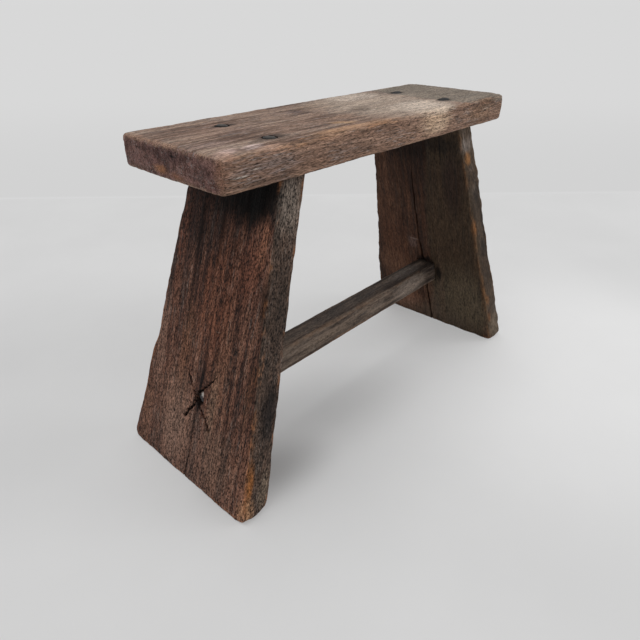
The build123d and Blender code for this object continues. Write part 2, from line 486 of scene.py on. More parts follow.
NAIL_KEYS = ("head", "rim", "height", "shank", "tip", "length")
SEAT_NAIL, STRETCHER_NAIL = (
    {key: size * MM for key, size in zip(NAIL_KEYS, sizes)}
    for sizes in ((11.0, 0.9, 2.2, 4.6, 1.6, 66.0), (8.0, 0.9, 1.5, 3.6, 1.4, 48.0))
)
seat_nail_proud = 1.0 * MM
stretcher_nail_sink = 2.0 * MM
nail_clearance = 0.05 * MM
nail_head_room = 1.1 * MM
nail_recess_height = 6 * MM

# Each seat nail's side, then how far it is in from the leg's outer face, as a share of the leg's
# thickness, and how far to the back, as a share of its top width
nail_places = {}
for name, side, inset_share, back_share in (
    ("seat_nail_left_back", -1, 0.33, 0.215),
    ("seat_nail_left_front", -1, 0.20, -0.350),
    ("seat_nail_right_back", 1, 0.56, 0.290),
    ("seat_nail_right_front", 1, 0.75, -0.295),
):
    setback = right_leg_setback if side > 0 else left_leg_setback
    back = setback + back_share * leg_top_width
    head_level = stool_height + seat_nail_proud - SEAT_NAIL["height"]
    tip_level = head_level - SEAT_NAIL["length"]
    tip_reach = leg_foot_reach - tip_level * tan(leg_splay) - leg_level_thickness / 2
    head_reach = leg_top_reach - inset_share * leg_level_thickness
    head_seat = Vector((side * head_reach, back, head_level))
    nail_places[name] = nail_place(head_seat, Vector((side * tip_reach, back, tip_level)))
for name, side in (("stretcher_nail_left", -1), ("stretcher_nail_right", 1)):
    axis = STRETCHER_PLACE[1].to_matrix() @ Vector((side, 0, 0))
    face_reach = stretcher_reach - stretcher_entry + leg_level_thickness
    face_reach -= side * stretcher_reach * tan(stretcher_rise) * tan(leg_splay)
    head_reach = face_reach - stretcher_nail_sink - STRETCHER_NAIL["height"]
    head_seat = STRETCHER_PLACE[0] + axis * head_reach
    nail_places[name] = nail_place(head_seat, head_seat - axis * STRETCHER_NAIL["length"])


def nail_cutters(name, recessed):
    """The hole of a nail's shank, and the recess round its head if asked for, as cutters."""
    sizes = SEAT_NAIL if name.startswith("seat") else STRETCHER_NAIL
    shank, tip = (sizes[key] + 2 * nail_clearance for key in ("shank", "tip"))
    length = sizes["length"] + nail_clearance
    cutters = [spike(name + "_hole", shank, tip, length, nail_recess_height)]
    if recessed:
        radius = sizes["head"] / 2 + nail_head_room
        cutters.append(drum(name + "_recess", radius, 0, nail_recess_height))
    return [set_in_place(mark_grime_and_shade(cutter), nail_places[name]) for cutter in cutters]


# Materials
def linear(colour):
    """A colour as it looks, from 0 to 255, in the linear values that materials take."""
    return tuple(((c / 255 + 0.055) / 1.055) ** 2.4 if c > 10 else c / 3295 for c in colour) + (1,)


def neutral(level):
    return (level, level, level)


class Finish:
    """A material in the making. Each method adds one step and returns its output."""

    def __init__(self, name):
        self.material = bpy.data.materials.new(name)
        self.material.use_nodes = True
        self.nodes = self.material.node_tree.nodes
        self.links = self.material.node_tree.links
        self.shader = self.nodes["Principled BSDF"]

    def feed(self, node, inputs):
        """Give a node its inputs: values, or outputs of other nodes."""
        for key, value in inputs.items():
            if isinstance(value, bpy.types.NodeSocket):
                self.links.new(value, node.inputs[key])
            else:
                node.inputs[key].default_value = value

    def step(self, kind, inputs, **settings):
        node = self.nodes.new("ShaderNode" + kind)
        for key, value in settings.items():
            setattr(node, key, value)
        self.feed(node, inputs)
        return node

    def bench(self, place):
        """Object coordinates carried back to a board's bench space."""
        place_of = self.step("TexCoord", {})
        location, turn = place
        back = self.step(
            "Mapping",
            {"Vector": place_of.outputs["Object"], "Location": location, "Rotation": turn},
            vector_type="TEXTURE",
        )
        return back.outputs[0]

    def attribute(self, name):
        return self.step("Attribute", {}, attribute_name=name).outputs["Fac"]

    def noise(self, vector, length, width, detail=2.0, rough=0.5, shift=0.0, out="Fac"):
        """Cloudy noise whose lumps have a length along x and a width across it, in metres."""
        start = (shift, shift * 1.7, shift * 2.3)
        scale = (1 / length, 1 / width, 1 / width)
        drawn = self.step("Mapping", {"Vector": vector, "Location": start, "Scale": scale})
        cloud = self.step(
            "TexNoise",
            {"Vector": drawn.outputs[0], "Scale": 1.0, "Detail": detail, "Roughness": rough},
        )
        return cloud.outputs[out]

    def math(self, operation, first, second=0.0):
        return self.step("Math", {0: first, 1: second}, operation=operation).outputs[0]

    def plus(self, first, second):
        return self.math("ADD", first, second)

    def minus(self, first, second):
        return self.math("SUBTRACT", first, second)

    def times(self, first, second):
        return self.math("MULTIPLY", first, second)

    def span(self, value, low, high, start=0.0, stop=1.0):
        """Map a value from one span to another, held at its ends."""
        node = self.step(
            "MapRange",
            {"Value": value, "From Min": low, "From Max": high, "To Min": start, "To Max": stop},
            interpolation_type="SMOOTHSTEP",
        )
        return node.outputs[0]

    def mix(self, share, first, second):
        """A blend of two colours: outputs of other nodes, or colours as they look."""
        share_in, first_in, second_in, colour_out = 0, 6, 7, 2
        first, second = (linear(c) if isinstance(c, tuple) else c for c in (first, second))
        inputs = {share_in: share, first_in: first, second_in: second}
        return self.step("Mix", inputs, data_type="RGBA").outputs[colour_out]

    def warp(self, vector, length, width, reach, shift):
        """A vector pushed about by soft noise, to make marks ragged."""
        push = self.noise(vector, length, width, shift=shift, out="Color")
        centre = (0.5, 0.5, 0.5)
        for operation, other in (("SUBTRACT", centre), ("MULTIPLY", reach), ("ADD", vector)):
            push = self.step("VectorMath", {0: push, 1: other}, operation=operation).outputs[0]
        return push

    def spot(self, vector, middle, radii, turn, edge):
        """1 at the middle of an ellipsoid given in mm, falling from its edge share to 0."""
        middle, radii = [c * MM for c in middle], [r * MM for r in radii]
        turn = (0, 0, radians(turn))
        local = self.step(
            "Mapping",
            {"Vector": vector, "Location": middle, "Rotation": turn, "Scale": radii},
            vector_type="TEXTURE",
        )
        far = self.step("VectorMath", {0: local.outputs[0]}, operation="LENGTH")
        return self.span(far.outputs["Value"], 1.0, edge)


def wood(name, place, tones, seed, marks=(), tints=()):
    """Weathered wood, solid through the board: long streaks, fine fibre, pores and wear."""
    board = Finish(name)
    bench = board.bench(place)
    bent = board.warp(bench, 0.16, 0.05, (0, 7 * MM, 7 * MM), seed)
    broad = board.noise(bent, 0.30, 0.022, shift=seed + 1)
    medium = board.noise(bent, 0.11, 0.0060, detail=3.0, rough=0.6, shift=seed + 2)
    fine = board.noise(bent, *tones["fine"], rough=0.65, shift=seed + 3)
    fibre = board.noise(bent, *tones["fibre"], rough=0.65, shift=seed + 4)
    blotch = board.noise(bench, 0.030, 0.014, detail=3.0, rough=0.6, shift=seed + 5)
    level = board.plus(board.times(broad, 0.40), board.times(medium, 0.60))
    ramp = board.step("ValToRGB", {"Fac": level})
    stops = ramp.color_ramp.elements
    stops[0].position, stops[1].position = 0.42, 0.60
    stops[0].color, stops[1].color = linear(tones["dark"]), linear(tones["light"])
    stops.new(0.50).color = linear(tones["middle"])
    colour = ramp.outputs["Color"]

    for tint in tints:
        face = board.attribute(tint["face"])
        uneven = board.plus(face, board.times(blotch, 0.6))
        tint_colour = tint["colour"]
        if "mottle" in tint:
            mottles = board.noise(bench, 0.0045, 0.0045, detail=3.0, rough=0.65, shift=seed + 12)
            tint_colour = board.mix(board.span(mottles, 0.40, 0.62), tint["mottle"], tint_colour)
        share = board.span(uneven, 0.50, 1.05, 0.0, tint["share"])
        colour = board.mix(share, colour, tint_colour)

    # grey of weather in flecks along the grain
    fleck = board.noise(bent, 0.016, 0.0016, rough=0.7, shift=seed + 6)
    grey = board.span(fleck, 0.50, 0.66, 0.0, tones["greyness"])
    colour = board.mix(board.times(grey, board.span(blotch, 0.38, 0.60)), colour, tones["grey"])

    ragged = board.warp(bench, 0.022, 0.007, (14 * MM, 6 * MM, 6 * MM), seed + 7)
    crisp = board.warp(bench, 0.007, 0.004, (1.2 * MM, 1.2 * MM, 1.2 * MM), seed + 8)
    streaky = board.span(board.plus(fine, medium), 0.80, 1.12)
    sunk = None
    for spot in marks:
        outline = crisp if spot.get("crisp") else ragged
        share = board.spot(outline, spot["at"], spot["radii"], spot["turn"], spot["edge"])
        if spot.get("streaks"):
            share = board.times(share, streaky)
        if spot.get("cut"):
            deep = board.times(share, spot["cut"])
            sunk = board.plus(sunk, deep) if sunk else deep
        share = board.times(share, spot["share"])
        colour = board.mix(share, colour, spot["colour"])

    # arrises rubbed through to warm wood, in patches
    arris = board.attribute("arris")
    patch = board.noise(bench, 0.024, 0.008, detail=3.0, rough=0.7, shift=seed + 9)
    patches = board.span(patch, 0.46, 0.60, 0.0, tones["rub_share"])
    rubbed = board.times(board.span(arris, 0.35, 0.9), patches)
    colour = board.mix(rubbed, colour, tones["rub"])

    # pores and fibre, then the grime and painted shade in splits, joints and recesses
    pore = board.noise(bent, *tones["pores"], detail=1.0, rough=0.5, shift=seed + 10)
    smooth = board.span(board.attribute("arris"), 0.35, 0.95, 1.0, 0.35)
    calm = board.span(board.attribute("front"), 0.0, 1.0, tones["calm"], 1.0)
    smooth = board.times(smooth, calm)
    pores = board.times(board.span(pore, 0.54, 0.68), smooth)
    colour = board.mix(board.times(pores, tones["pore_share"]), colour, tones["pore"])
    ring = board.noise(bent, *tones["rings"], rough=0.55, shift=seed + 11)
    rings = board.span(board.math("ABSOLUTE", board.minus(ring, 0.5)), 0.028, 0.0)
    rings = board.times(rings, board.span(blotch, 0.30, 0.62, 0.3, 1.0))
    rings = board.times(rings, smooth)
    colour = board.mix(board.times(rings, tones["ring_share"]), colour, tones["pore"])
    value = board.plus(board.times(fine, tones["contrast"]), 1 - tones["contrast"] * 0.5)
    value = board.plus(value, board.times(medium, tones["bands"]))
    value = board.minus(value, tones["bands"] * 0.5)
    value = board.plus(value, board.times(fibre, tones["contrast"] * 1.2))
    value = board.math("MAXIMUM", board.minus(value, tones["contrast"] * 0.6), 0.15)
    toned = board.step("HueSaturation", {"Color": colour, "Value": value}).outputs[0]
    # splits, joints and recesses near-black: grime, and painted shade
    grime_and_shade = board.span(board.attribute("grime_and_shade"), 0.05, 0.75, 0.0, 0.92)
    toned = board.mix(grime_and_shade, toned, (20, 16, 15))
    roughness = board.span(medium, 0.3, 0.7, tones["gloss"], 0.92)

    relief = board.plus(board.times(fine, 0.6), board.times(fibre, 0.6))
    relief = board.minus(relief, board.times(pores, 0.35))
    relief = board.minus(relief, board.times(rings, 0.3))
    if sunk:
        relief = board.minus(relief, sunk)
    bump = board.step("Bump", {"Height": relief, "Strength": 1.0, "Distance": 0.7 * MM})
    board.feed(board.shader, {
        "Base Color": toned, "Roughness": roughness, "Specular IOR Level": 0.14,
        "Normal": bump.outputs[0],
    })
    return board.material


def iron(name, black, scale, rust):
    """Blackened forged iron with a little rust in its hollows, a rubbed crown, and near-black
    sides: scale and painted shade.
    """
    nail = Finish(name)
    place = nail.step("TexCoord", {}).outputs["Object"]
    scale_clouds = nail.noise(place, 0.004, 0.004, detail=4.0, rough=0.65)
    grit = nail.noise(place, 0.0009, 0.0009, shift=3)
    colour = nail.mix(nail.span(scale_clouds, 0.40, 0.62), black, scale)
    colour = nail.mix(nail.span(grit, 0.55, 0.75, 0, 0.4), colour, rust)
    # the head's sides below the crown near-black: black scale, and painted shade
    colour = nail.mix(nail.attribute("crown"), (14, 12, 12), colour)
    roughness = nail.span(scale_clouds, 0.3, 0.7, 0.5, 0.78)
    height = nail.plus(nail.times(scale_clouds, 0.6), nail.times(grit, 0.4))
    bump = nail.step("Bump", {"Height": height, "Strength": 0.7, "Distance": 0.4 * MM})
    nail.feed(nail.shader, {
        "Base Color": colour, "Metallic": 0.2, "Roughness": roughness, "Normal": bump.outputs[0],
    })
    return nail.material


rubbed_nail_iron = iron("rubbed_nail_iron", (44, 40, 38), (82, 76, 70), (86, 66, 54))
black_nail_iron = iron("black_nail_iron", (17, 16, 17), (34, 32, 34), (56, 42, 36))
# painted light: the iron of the stretcher nails, whose heads sit in shaded recesses, is made
# lighter
sunk_nail_iron_painted_light = iron("sunk_nail_iron_painted_light", (52, 50, 53), (76, 74, 78), (84, 66, 56))

# The woods of the seat, left leg, right leg and stretcher, a column each. Colours are as they
# look. Greyness, shares, contrast and bands, which are broad stripes, are strengths; gloss is the
# least roughness; and calm is how strong the pores are on the front side. Fine, fibre, pores and
# rings are lengths and widths of the grain in metres
TONES = (
    ("dark", (94, 72, 61), (58, 38, 32), (54, 36, 28), (58, 49, 44)),
    ("middle", (130, 106, 92), (95, 64, 52), (74, 50, 38), (90, 77, 68)),
    ("light", (164, 141, 125), (124, 89, 73), (90, 63, 49), (118, 103, 91)),
    ("grey", (150, 143, 140), (124, 112, 104), (92, 82, 72), (118, 112, 106)),
    ("greyness", 0.6, 0.55, 0.35, 0.3),
    ("rub", (160, 130, 108), (142, 92, 56), (120, 84, 56), (124, 90, 64)),
    ("rub_share", 0.45, 0.45, 0.4, 0.25),
    ("pore", (44, 32, 27), (22, 15, 13), (22, 16, 13), (28, 23, 21)),
    ("pore_share", 0.65, 0.85, 0.4, 0.3),
    ("ring_share", 0.46, 0.25, 0.25, 0.2),
    ("contrast", 2.4, 3.3, 1.55, 1.12),
    ("bands", 0.25, 0.8, 0.5, 0.4),
    ("gloss", 0.68, 0.64, 0.64, 0.64),
    ("calm", 0.57, 1.0, 1.0, 1.0),
    ("fine", (0.018, 0.0011), (0.0066, 0.0018), (0.012, 0.0022), (0.009, 0.0028)),
    ("fibre", (0.0042, 0.0007), (0.0024, 0.0013), (0.0042, 0.0016), (0.0034, 0.0018)),
    ("pores", (0.0036, 0.0007), (0.0024, 0.0009), (0.0040, 0.0009), (0.0036, 0.0011)),
    ("rings", (0.060, 0.0032), (0.080, 0.0060), (0.080, 0.0060), (0.080, 0.0060)),
)
SEAT_TONES, LEFT_LEG_TONES, RIGHT_LEG_TONES, STRETCHER_TONES = (
    {name: values[column] for name, *values in TONES} for column in range(4)
)

# Marks on each board, face by face: stains and wear that time has left, and painted shade and
# highlights where light falls
CRISP = {"crisp": True}
STREAKS = {"streaks": True}


def stains_and_painted_light(axis, level, reach, *rows):
    """Marks on a face of a board: place, radii, colour, strength and what is special.

    Lengths are in bench mm. A place or a set of radii that has only two numbers leaves out the
    axis across the face, where the mark's middle is at the level and its radius is the reach.
    """
    marks = []
    for at, radii, colour, share, *special in rows:
        at, radii = list(at), list(radii)
        if len(at) == 2:
            at.insert(axis, level)
        if len(radii) == 2:
            radii.insert(axis, reach)
        spot = {"at": at, "radii": radii, "colour": colour, "share": share}
        marks.append({"turn": 0, "edge": 0.25, **spot, **(special[0] if special else {})})
    return marks


# In turn: top; front side; left end
SEAT_MARKS = stains_and_painted_light(
    Z, 14, 6,
    # painted reflection: the glare of the light over the middle of the top, in the next three marks
    ((50, 0), (88, 100, 9), (188, 171, 155), 0.68, {"edge": 0.45}),
    ((70, -40), (52, 34, 9), (214, 198, 183), 0.6),
    ((66, 44), (50, 26, 9), (206, 191, 178), 0.55),
    ((-6, 30), (34, 22, 8), (168, 145, 126), 0.4),
    ((8, -13), (15, 9), (104, 88, 78), 0.6),
    ((-42, 24), (12, 9), (92, 82, 82), 0.65),
    ((-50, -39), (18, 9), (190, 152, 114), 0.6, {"turn": -35}),
    ((-72, -56, 13), (48, 8), (196, 154, 120), 0.6),
    ((401, 0, 16), (300, 400, 12), (136, 126, 114), 0.85, {**CRISP, "edge": 0.975}),
    ((150, 46), (50, 12, 8), (100, 94, 84), 0.5, STREAKS),
    ((-150, 20), (60, 40), (140, 112, 98), 0.5, STREAKS),
    ((-84, -18), (60, 20), (152, 126, 110), 0.5),
    ((-176, -28), (26, 9), (164, 142, 132), 0.55, STREAKS),
    ((-160, -52), (15, 9), (206, 184, 178), 0.85, STREAKS),
    ((-182, -50), (12, 9), (196, 170, 162), 0.7),
    ((-150, -60, 12), (24, 6), (200, 162, 140), 0.55),
    ((-190, -58, 10), (12, 9, 10), (152, 118, 100), 0.7),
    ((-128, 24), (17, 9), (50, 44, 44), 0.85),
    ((-131, -39), (26, 11), (54, 46, 44), 0.9),
    ((121, 28), (17, 9), (50, 46, 44), 0.85),
    ((116, -37), (17, 9), (54, 50, 48), 0.85),
    ((-90, 26), (60, 5, 4), (80, 68, 66), 0.35, STREAKS),
    ((-72, 30), (40, 12, 5), (156, 134, 120), 0.45),
    ((-94, 15), (16, 8), (104, 82, 72), 0.5),
    ((16, -5), (24, 11), (104, 88, 78), 0.45),
    ((-180, -25), (34, 11), (168, 143, 132), 0.45),
    ((-28, -22), (28, 15), (172, 142, 122), 0.55),
    ((-134, -1), (34, 10), (108, 82, 74), 0.3),
    ((-20, 16), (16, 12), (162, 138, 122), 0.4),
    ((-190, -54), (16, 8), (198, 168, 154), 0.5),
    ((-34, -57, 13), (44, 7, 5), (178, 142, 114), 0.55),
) + stains_and_painted_light(
    Y, -64, 6,
    ((64, 2), (36, 10, 17), (206, 176, 148), 0.8),
    # painted highlight on the lit top arris
    ((66, -60, 12), (44, 9, 7), (212, 193, 174), 0.7),
    ((-150, 0), (60, 9), (118, 110, 110), 0.5, STREAKS),
    ((-60, -4), (50, 6), (96, 84, 78), 0.4, STREAKS),
    ((72, -3), (18, 8, 10), (204, 178, 154), 0.4),
    ((-36, 2), (90, 4), (166, 136, 118), 0.45),
    ((-142, -8), (22, 5), (98, 78, 68), 0.5),
    ((152, 5), (30, 9), (112, 84, 66), 0.5),
    ((158, -8), (36, 7), (104, 80, 66), 0.45),
    ((-166, -10), (34, 6), (92, 74, 64), 0.5),
    ((-115, -62, 12), (45, 7, 4), (168, 124, 88), 0.7, STREAKS),
    ((-20, -62, 12), (50, 7, 4), (160, 118, 84), 0.6, STREAKS),
    ((150, 0), (40, 12), (134, 106, 84), 0.5),
    ((158, 11), (32, 8, 6), (112, 80, 58), 0.7),
    ((158, 3), (12, 4), (176, 162, 150), 0.55, STREAKS),
    ((-197, -60, 0), (7, 7, 14), (140, 104, 86), 0.7),
    ((-184, -2), (11, 3, 1.1), (206, 196, 186), 0.8, {**CRISP, "turn": 4, "edge": 0.1}),
    ((-168, 1), (8, 3, 0.8), (196, 184, 172), 0.6, {**CRISP, "turn": 4, "edge": 0.1}),
) + stains_and_painted_light(
    X, -201, 7,
    ((10, -6), (9, 14, 5), (164, 116, 84), 0.75),
    ((-11, -8), (9, 15, 4), (140, 98, 76), 0.6),
    ((4, 6), (46, 8), (62, 43, 43), 0.7),
    ((42, -3), (18, 7), (128, 97, 92), 0.6),
    ((20, -2), (12, 6), (120, 88, 84), 0.45),
    ((1, -5), (6, 5), (52, 36, 35), 0.6),
    ((-26, -2), (10, 8), (104, 74, 68), 0.45),
    ((-45, 2), (14, 9), (72, 50, 48), 0.5),
    ((-200, 20, 13), (60, 3), (158, 126, 108), 0.7),
    ((-8, 6), (3, 6, 1.3), (20, 15, 15), 0.95, {**CRISP, "cut": 2.0}),
    ((-7, 6), (3, 1.4, 5), (20, 15, 15), 0.95, {**CRISP, "cut": 2.0}),
    ((39, 6), (3, 6, 0.9), (24, 17, 17), 0.9, {**CRISP, "cut": 1.5}),
)
# In turn: outer face, with the dark iron stain about the sunk nail last; front side and its arris
LEFT_LEG_MARKS = stains_and_painted_light(
    Z, 0, 6,
    # painted shade under the seat: the top of the face near-black, in the next two marks
    ((292, 0), (46, 90, 12), (17, 9, 8), 0.97, {"edge": 0.45}),
    ((285, -24), (40, 46, 9), (3, 2, 2), 1.0, {"edge": 0.4}),
    ((250, 10), (44, 50, 7), (44, 30, 25), 0.6, STREAKS),
    ((254, 38), (62, 28, 8), (38, 21, 18), 0.8),
    ((225, 31), (90, 3.6, 7), (22, 15, 13), 0.9, STREAKS),
    ((160, 29), (90, 2.6), (42, 30, 26), 0.6, STREAKS),
    ((240, 2), (70, 4.2, 7), (22, 15, 14), 0.85, STREAKS),
    ((222, 56), (56, 7), (104, 62, 47), 0.5, STREAKS),
    ((190, 48), (40, 9), (70, 46, 37), 0.45),
    ((112, 65), (86, 11), (128, 98, 84), 0.65),
    ((36, 76), (52, 12), (128, 92, 74), 0.65),
    ((180, 11), (56, 6), (116, 72, 54), 0.5, STREAKS),
    ((222, -40), (44, 18), (124, 78, 60), 0.6),
    ((246, -51), (28, 7, 5), (156, 106, 82), 0.8),
    ((180, -8), (90, 34), (120, 74, 54), 0.45),
    ((120, -30), (70, 22), (116, 82, 64), 0.45, STREAKS),
    ((62, 28), (60, 34), (138, 108, 92), 0.6),
    ((84, -23), (58, 9), (142, 110, 90), 0.65),
    ((34, 27), (44, 24), (150, 121, 105), 0.5),
    ((20, 0), (70, 90), (124, 96, 83), 0.5),
    ((130, 27), (62, 14), (122, 84, 62), 0.4),
    ((74, 6), (10, 6, 5), (126, 94, 80), 0.5),
    ((40, -40), (46, 30), (112, 88, 74), 0.45),
    ((85, -3), (14, 7, 7), (18, 14, 13), 0.92),
    ((106, -3), (22, 4.6), (22, 17, 18), 0.88),
    ((130, -3), (34, 3.6), (28, 19, 17), 0.85, STREAKS),
    ((52, 0), (28, 2.6, 5), (32, 23, 20), 0.65),
    ((92.5, -7.5), (5.5, 2.8, 3), (180, 177, 172), 0.85, {**CRISP, "edge": 0.1}),
    ((14, -1), (16, 1.1, 4), (26, 17, 14), 0.85, CRISP),
    ((67, -19), (10, 1.8, 12), (13, 10, 10), 0.92, {**CRISP, "turn": 45}),
    ((100, 14), (10, 0.9, 12), (20, 14, 12), 0.8, {**CRISP, "turn": 40}),
    ((3, 31), (4, 7), (24, 18, 16), 0.8),
    ((157, -14), (0.8, 5, 2), (150, 132, 118), 0.5, {**CRISP, "turn": 10, "edge": 0.1}),
) + stains_and_painted_light(
    Z, 0, 5,
    ((280, -57, -14), (36, 10, 18), (126, 114, 104), 0.75),
    ((200, -68, -15), (66, 10, 20), (62, 51, 44), 0.85),
    ((150, -72, -2), (30, 5), (134, 90, 60), 0.5, STREAKS),
    ((204, -64), (34, 9), (50, 36, 30), 0.85),
    ((118, -66), (44, 7), (122, 82, 58), 0.35),
    ((108, -79), (46, 8), (58, 44, 37), 0.5),
    ((108, -78, -16), (56, 10, 15), (34, 30, 29), 0.88),
    ((44, -86, -3), (36, 8), (134, 84, 42), 0.8),
    ((13, -84, -5), (16, 12, 9), (164, 124, 92), 0.8),
    ((30, -86, -20), (30, 8, 9), (122, 106, 90), 0.7),
)
# In turn: inner face; front side
RIGHT_LEG_MARKS = stains_and_painted_light(
    Z, 27, 8,
    # painted shade under the seat, darkening the top of the face
    ((292, 0), (40, 80, 10), (30, 21, 17), 0.8, {"edge": 0.5}),
    ((150, -47), (240, 46, 10), (68, 56, 43), 0.8, {"edge": 0.85}),
    ((240, -44), (60, 20), (48, 34, 30), 0.7),
    ((120, 44), (90, 30), (94, 62, 46), 0.6),
    ((34, 42), (38, 36), (144, 104, 84), 0.8),
    ((60, -50), (84, 66), (98, 86, 70), 0.85),
    ((10, 0), (44, 100), (100, 86, 74), 0.6),
    ((92, 54), (36, 36), (122, 88, 68), 0.55),
    ((80, -20), (96, 8, 6), (98, 80, 66), 0.5),
    ((36, -8), (38, 12, 6), (98, 84, 72), 0.5),
    ((92, -79), (34, 8, 5), (48, 40, 33), 0.6),
    ((288, -28), (15, 36), (22, 16, 14), 0.6),
    ((244, 4), (36, 46), (44, 30, 24), 0.35),
    ((162, 34), (36, 7, 5), (52, 34, 27), 0.5),
    ((142, 20), (12, 10, 6), (108, 88, 82), 0.6),
    ((148, 16), (1.5, 12, 3), (130, 112, 104), 0.6, CRISP),
    ((166, 31), (4, 2.4, 3), (24, 18, 18), 0.8, CRISP),
    ((284, -30), (26, 1.3, 3), (14, 11, 10), 0.85, CRISP),
    # painted shadow round the stretcher's mortise: above it and along its front gap
    ((118, 2), (7, 17, 6), (16, 13, 12), 0.9),
    ((100, -16), (20, 6, 6), (16, 13, 12), 0.9),
) + stains_and_painted_light(
    Z, 14, 20,
    ((240, -64), (90, 9), (74, 60, 48), 0.7),
    ((215, -66), (30, 9), (48, 40, 34), 0.6, STREAKS),
    ((190, -72, 4), (110, 12, 7), (30, 25, 22), 0.85, STREAKS),
    ((226, -66, 10), (17, 6, 9), (36, 30, 27), 0.8),
    ((150, -74, 12), (20, 6, 9), (38, 32, 28), 0.8),
    ((112, -79, 8), (14, 6, 8), (40, 34, 29), 0.7),
    ((286, -57), (12, 8), (128, 116, 108), 0.6),
    ((272, -58, 17), (10, 6, 8), (150, 104, 62), 0.8),
    ((258, -58), (6, 6, 6), (120, 106, 98), 0.6),
    ((246, -60, 12), (9, 6, 8), (46, 38, 34), 0.6),
    ((232, -62, 16), (8, 6, 6), (108, 94, 84), 0.5),
    ((290, -57, 19.5), (20, 6, 1.0), (176, 166, 160), 0.4, CRISP),
    ((186, -70, 23), (16, 7, 5), (140, 92, 54), 0.6),
    ((130, -80), (70, 9), (64, 51, 41), 0.75),
    ((96, -80, 24), (50, 6, 4), (128, 88, 56), 0.45, STREAKS),
    ((74, -83, 21), (14, 8, 6), (138, 92, 54), 0.5),
    ((48, -86, 22), (12, 8, 6), (130, 84, 50), 0.5),
    ((24, -88, 12), (32, 9, 18), (126, 111, 94), 0.65),
    ((8, -86, 24), (9, 9, 6), (128, 84, 58), 0.5),
)
# Top and front
STRETCHER_MARKS = stains_and_painted_light(
    Y, -13, 5,
    ((0, 0, 17), (190, 15, 7), (64, 60, 59), 0.85),
    # painted light: the top lifted out of the right leg's shade
    ((124, 0, 14), (44, 14, 6), (112, 105, 100), 0.65),
    # painted shade at the right end, where it goes into the leg
    ((173, 0, 10), (16, 18, 18), (24, 20, 19), 0.9),
    # painted light: the front lifted out of the right leg's shade
    ((118, 0), (50, 18), (144, 130, 119), 0.8),
    ((46, 0), (26, 4, 7), (136, 122, 110), 0.5),
    ((-66, 9), (44, 4, 5), (82, 72, 66), 0.5),
    ((-30, -12), (140, 4, 4), (130, 92, 64), 0.5, STREAKS),
    ((140, 8), (5, 4, 3), (150, 134, 116), 0.5, CRISP),
    ((0, 0), (150, 5), (118, 103, 90), 0.6, STREAKS),
)

seat_wood = wood(
    "seat_wood", SEAT_PLACE, SEAT_TONES, 11.0, SEAT_MARKS,
    tints=(
        {"face": "front", "share": 0.75, "colour": (143, 113, 95)},
        {"face": "end", "share": 0.9, "colour": (130, 97, 91), "mottle": (84, 58, 53)},
    ),
)
left_leg_wood = wood(
    "left_leg_wood", LEFT_PLACE, LEFT_LEG_TONES, 23.0, LEFT_LEG_MARKS,
    tints=({"face": "front", "share": 0.85, "colour": (80, 67, 58)},),
)
right_leg_wood = wood(
    "right_leg_wood", RIGHT_PLACE, RIGHT_LEG_TONES, 37.0, RIGHT_LEG_MARKS,
    tints=({"face": "front", "share": 0.85, "colour": (82, 69, 57)},),
)
stretcher_wood = wood("stretcher_wood", STRETCHER_PLACE, STRETCHER_TONES, 51.0, STRETCHER_MARKS)

# Seat board
# Roundings of its upright corners: side along x, side along y, radius. Knocked corners: sides
# along x, y and z, then how hard the knock was
SEAT_CORNERS = ((-1, -1, 5.5 * MM), (1, -1, 5.0 * MM), (-1, 1, 2.5 * MM), (1, 1, 3.0 * MM))
SEAT_KNOCKS = (
    (-1, -1, 1, 0.8), (-1, -1, -1, 0.5), (1, -1, 1, 0.3), (1, -1, -1, 0.6),
    (-1, 1, 1, 0.4), (-1, 1, -1, 0.1), (1, 1, 1, 0.3), (1, 1, -1, 0.6),
)
sat_softness = 7 * MM
knock_softness = 9 * MM
seat_corner = Vector((seat_length / 2, seat_width / 2, seat_thickness / 2))
seat = sawn_board("seat", -seat_corner, seat_corner, 3.6 * MM, (2.2 * MM, 0.95 * MM, 0.95 * MM))
places = points_of(seat)
front_arris = np.hypot(places[:, Y] + seat_corner.y, places[:, Z] - seat_corner.z)
mark(seat, "sat", np.exp(-((front_arris / sat_softness) ** 2)))
knocks = np.zeros(len(places))
for x_side, y_side, z_side, share in SEAT_KNOCKS:
    corner = np.array((x_side * seat_corner.x, y_side * seat_corner.y, z_side * seat_corner.z))
    away = np.linalg.norm(places - corner, axis=1)
    knocks = np.maximum(knocks, share * np.exp(-((away / knock_softness) ** 2)))
mark(seat, "knocked", knocks)
for x_side, y_side, radius in SEAT_CORNERS:
    round_corner(seat, (x_side * seat_corner.x, y_side * seat_corner.y), (-x_side, -y_side), radius)
wear(seat, (0.12, 0.045, 0.045), 1.0 * MM, 1)
wear(seat, (0.045, 0.0030, 0.0030), 0.5 * MM, 2)
wear(seat, (0.070, 0.034, 0.034), 2.2 * MM, 3, group="sat", contrast=1.3)
wear(seat, (0.3, 0.3, 0.3), 2.6 * MM, 6, group="knocked")
wear(seat, (0.040, 0.024, 0.024), 0.5 * MM, 7, group="arris", contrast=1.3)
wear(seat, (0.009, 0.006, 0.006), 0.5 * MM, 4, group="arris", contrast=2.2, spread=0.7)
wear(seat, (0.0040, 0.0035, 0.0030), 0.7 * MM, 5, group="end")
set_in_place(seat, SEAT_PLACE)

# Legs
chip_start = 6 * MM
chip_onset = 20 * MM
left_low = (0, -leg_foot_width / 2, -leg_thickness)
left_high = (leg_board_length, leg_foot_width / 2, 0)
right_low = (0, -leg_foot_width / 2, 0)
right_high = (leg_board_length, leg_foot_width / 2, leg_thickness)


